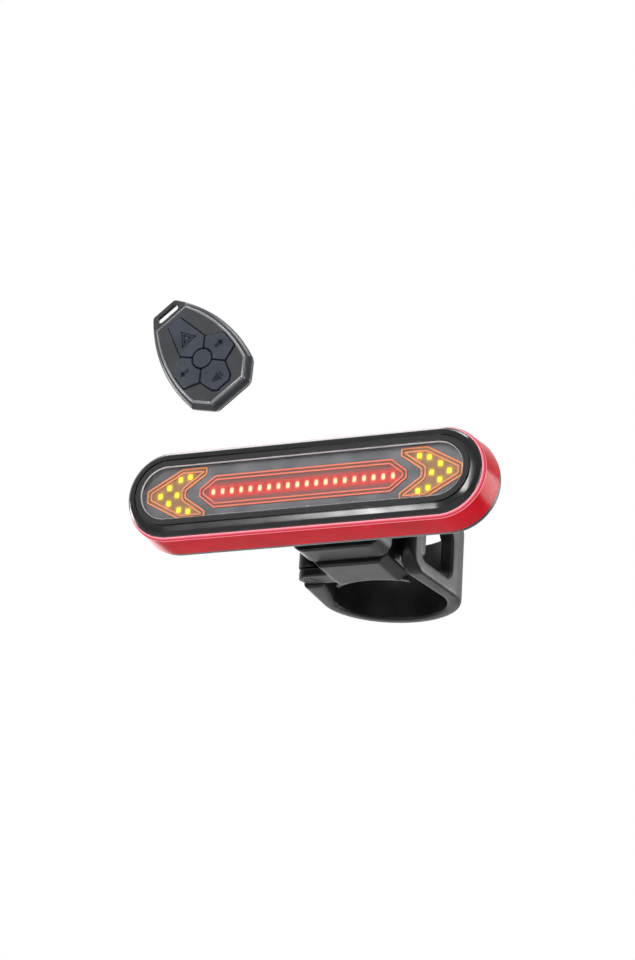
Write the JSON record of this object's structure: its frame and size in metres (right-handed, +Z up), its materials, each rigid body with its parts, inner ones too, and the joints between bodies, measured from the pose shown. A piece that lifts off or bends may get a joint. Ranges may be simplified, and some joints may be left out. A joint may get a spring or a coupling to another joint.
{
  "type": "bicycle turn signal light",
  "caption": "Rear bicycle light with a red bar and amber turn arrows, clipped to a strap bracket for a seat post, with its small key remote.",
  "frame": {"origin": "on the axis of the seat post that the bracket clamps, at the light's mid height", "axes": "+X along the light, to the right as seen from behind the bicycle; -Y backwards, out of the lens; +Z up along the seat post"},
  "size_m": [0.1239, 0.0871, 0.0951],
  "materials": {
    "lens_smoke": "smoky clear, glossy",
    "bezel_black": "gloss",
    "shell_black": "satin",
    "ring_red": "glossy red anodised look",
    "mask_grey": "satin",
    "guide_red": "frosted translucent",
    "guide_amber": "frosted translucent",
    "lamp_red": "lit",
    "lamp_amber": "lit",
    "board": "solder mask",
    "chip": "moulded",
    "battery_wrap": "foil pouch",
    "foam": "foam",
    "steel": "plated",
    "rubber_black": "satin rubber",
    "bracket_black": "satin",
    "button_rubber": "satin rubber",
    "remote_black": "satin",
    "remote_key": "satin",
    "silicone": "silicone",
    "cell_steel": "satin"
  },
  "bodies": {
    "bracket": {"bracket_block": "bracket_black", "saddle_pad": "rubber_black", "strap_pin": "steel", "strap_wrap": "rubber_black"},
    "strap_end": {"strap_loop": "rubber_black"},
    "light": {"lens": "lens_smoke", "bezel": "bezel_black", "red_ring": "ring_red", "rear_shell": "shell_black", "lens_gasket": "mask_grey", "light_mask": "mask_grey", "bar_light_guide": "guide_red", "left_arrow_light_guide": "guide_amber", "right_arrow_light_guide": "guide_amber", "main_board": "board", "red_lamps": "lamp_red", "left_amber_lamps": "lamp_amber", "right_amber_lamps": "lamp_amber", "driver_chips": "chip", "radio_module": "chip", "battery_pads": "foam", "battery": "battery_wrap", "charging_socket": "steel", "power_switch": "chip", "rear_clip": "bracket_black", "clip_screws": "steel", "shell_screws": "steel"},
    "power_push": {"power_button": "button_rubber"},
    "port_flap": {"port_cover": "button_rubber"},
    "remote": {"remote_front_case": "remote_black", "remote_back_case": "remote_black", "keypad_sheet": "silicone", "remote_board": "board", "key_switches": "steel", "coin_cell": "cell_steel", "cell_clip": "steel", "remote_screws": "steel"},
    "hazard_push": {"hazard_key": "remote_key"},
    "left_push": {"left_key": "remote_key"},
    "right_push": {"right_key": "remote_key"},
    "horn_push": {"horn_key": "remote_key"},
    "centre_push": {"centre_key": "remote_key"}
  },
  "joints": [
    {"name": "light_lift", "type": "slide", "parent": "bracket", "child": "light", "axis": [0, 0, 1], "range_m": [0, 0.022]},
    {"name": "strap_release", "type": "hinge", "parent": "bracket", "child": "strap_end", "pos_m": [0.0178, 0, 0], "axis": [0, 0, 1], "range_deg": [0, 50], "stiffness_Nm_per_rad": 0.02},
    {"name": "power_press", "type": "slide", "parent": "light", "child": "power_push", "axis": [0, -1, 0], "range_m": [0, 0.0006], "stiffness_N_per_m": 400},
    {"name": "port_cover_open", "type": "hinge", "parent": "light", "child": "port_flap", "pos_m": [0.034, -0.0522, 0.004], "axis": [1, 0, 0], "range_deg": [0, 90]},
    {"name": "remote_lift", "type": "slide", "parent": "bracket", "child": "remote", "axis": [0, 0, 1], "range_m": [0, 0.04]},
    {"name": "hazard_press", "type": "slide", "parent": "remote", "child": "hazard_push", "axis": [0, 1, 0], "range_m": [0, 0.0005], "stiffness_N_per_m": 300},
    {"name": "left_press", "type": "slide", "parent": "remote", "child": "left_push", "axis": [0, 1, 0], "range_m": [0, 0.0005], "stiffness_N_per_m": 300},
    {"name": "right_press", "type": "slide", "parent": "remote", "child": "right_push", "axis": [0, 1, 0], "range_m": [0, 0.0005], "stiffness_N_per_m": 300},
    {"name": "horn_press", "type": "slide", "parent": "remote", "child": "horn_push", "axis": [0, 1, 0], "range_m": [0, 0.0005], "stiffness_N_per_m": 300},
    {"name": "centre_press", "type": "slide", "parent": "remote", "child": "centre_push", "axis": [0, 1, 0], "range_m": [0, 0.0005], "stiffness_N_per_m": 300}
  ]
}
